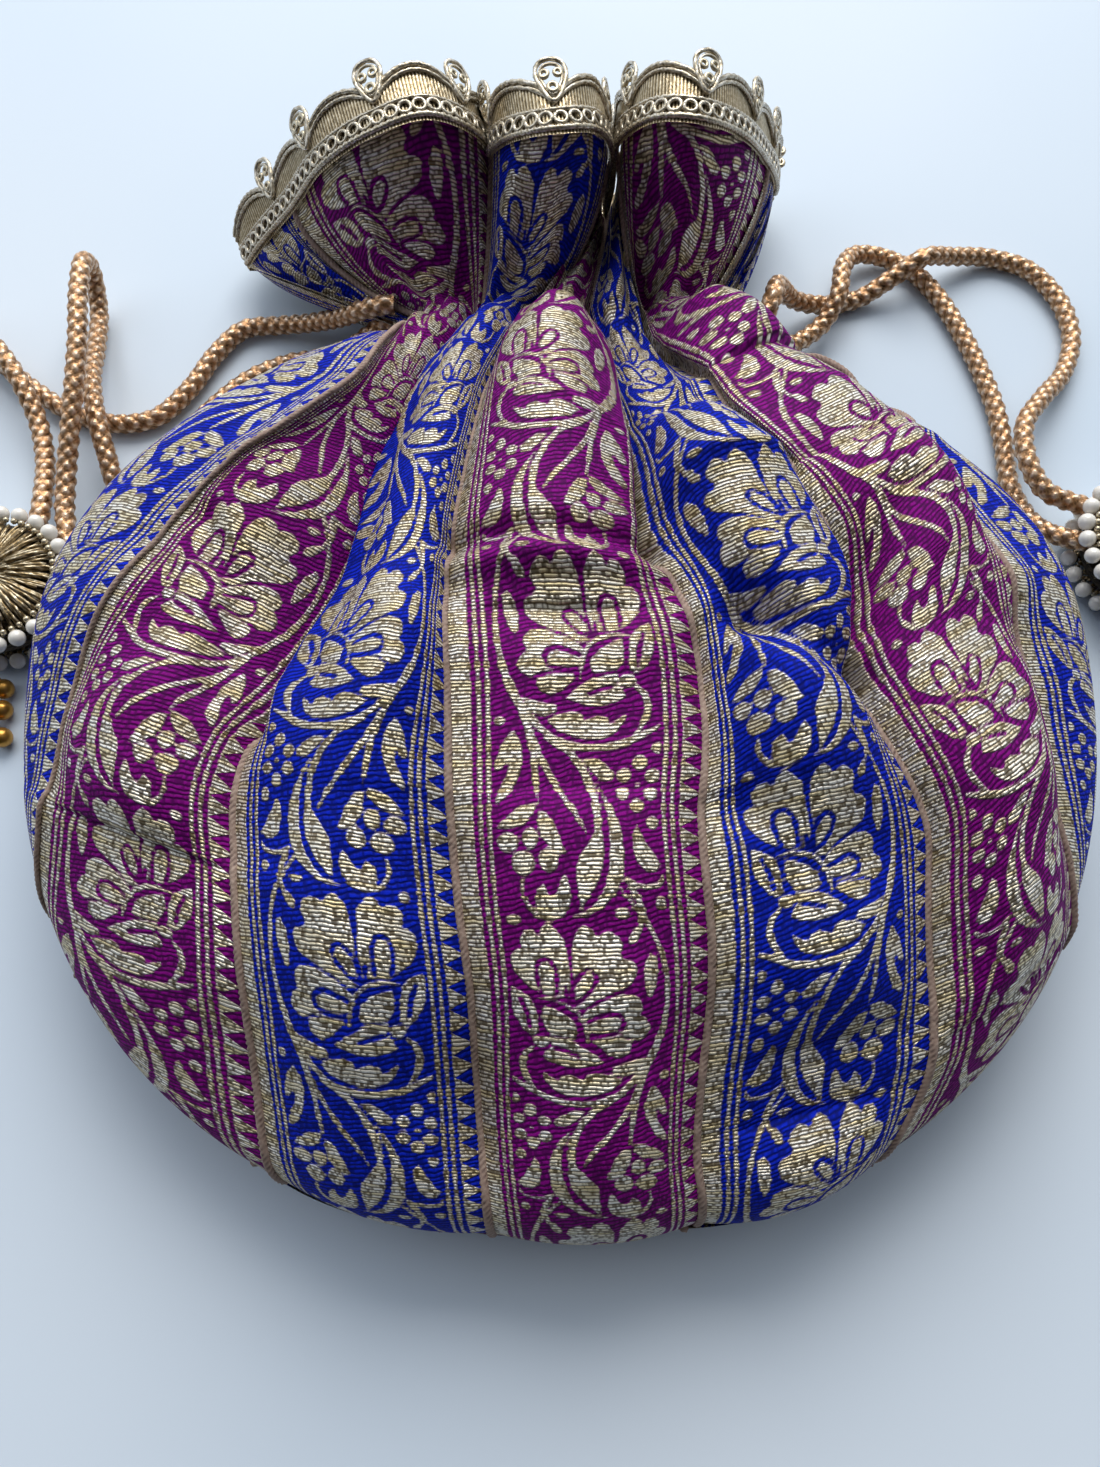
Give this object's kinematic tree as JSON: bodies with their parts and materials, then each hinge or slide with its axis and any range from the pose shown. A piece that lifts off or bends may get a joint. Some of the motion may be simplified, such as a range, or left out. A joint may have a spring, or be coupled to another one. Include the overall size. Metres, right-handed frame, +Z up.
{
  "type": "potli drawstring pouch",
  "caption": "Round-bottomed brocade pouch of sewn border strips, gathered at the neck by two drawstrings that end in pearl-edged thread ornaments, with a lace-trimmed mouth.",
  "frame": {"origin": "on the table under the middle of the bag, hem to lace, cords left out", "axes": "+X across the bag to the viewer's right, +Y from the hem towards the mouth, +Z up out of the front"},
  "size_m": [0.3378, 0.277, 0.062],
  "materials": {
    "blue_brocade": "ribbed silk ground with gold thread brocading",
    "magenta_brocade": "ribbed silk ground with gold thread brocading",
    "lining_cloth": "plain satin",
    "gold_lace": "metal thread lace, antique gold",
    "copper_cord": "plaited metallic yarn, rose gold",
    "felt_core": "felt",
    "bullion_thread": "coiled metal thread, antique gold",
    "pearl": "pearl lustre",
    "gold_bead": "plated gold"
  },
  "bodies": {
    "root": {"front_strip_1_blue": "blue_brocade", "front_strip_2_magenta": "magenta_brocade", "front_strip_3_blue": "blue_brocade", "front_strip_4_magenta": "magenta_brocade", "front_strip_5_blue": "blue_brocade", "front_strip_6_magenta": "magenta_brocade", "front_strip_7_blue": "blue_brocade", "back_strip_1_blue": "blue_brocade", "back_strip_2_magenta": "magenta_brocade", "back_strip_3_blue": "blue_brocade", "back_strip_4_magenta": "magenta_brocade", "back_strip_5_blue": "blue_brocade", "back_strip_6_magenta": "magenta_brocade", "back_strip_7_blue": "blue_brocade", "lining": "lining_cloth", "lace_trim": "gold_lace", "left_drawstring_loop": "copper_cord", "right_drawstring_loop": "copper_cord", "left_upper_strand": "copper_cord", "left_lower_strand": "copper_cord", "right_upper_strand": "copper_cord", "right_lower_strand": "copper_cord", "left_ornament_core": "felt_core", "left_front_rosette": "bullion_thread", "left_back_rosette": "bullion_thread", "left_front_pearl_ring": "pearl", "left_back_pearl_ring": "pearl", "left_bead_drop": "gold_bead", "right_ornament_core": "felt_core", "right_front_rosette": "bullion_thread", "right_back_rosette": "bullion_thread", "right_front_pearl_ring": "pearl", "right_back_pearl_ring": "pearl", "right_bead_drop": "gold_bead"}
  },
  "joints": []
}
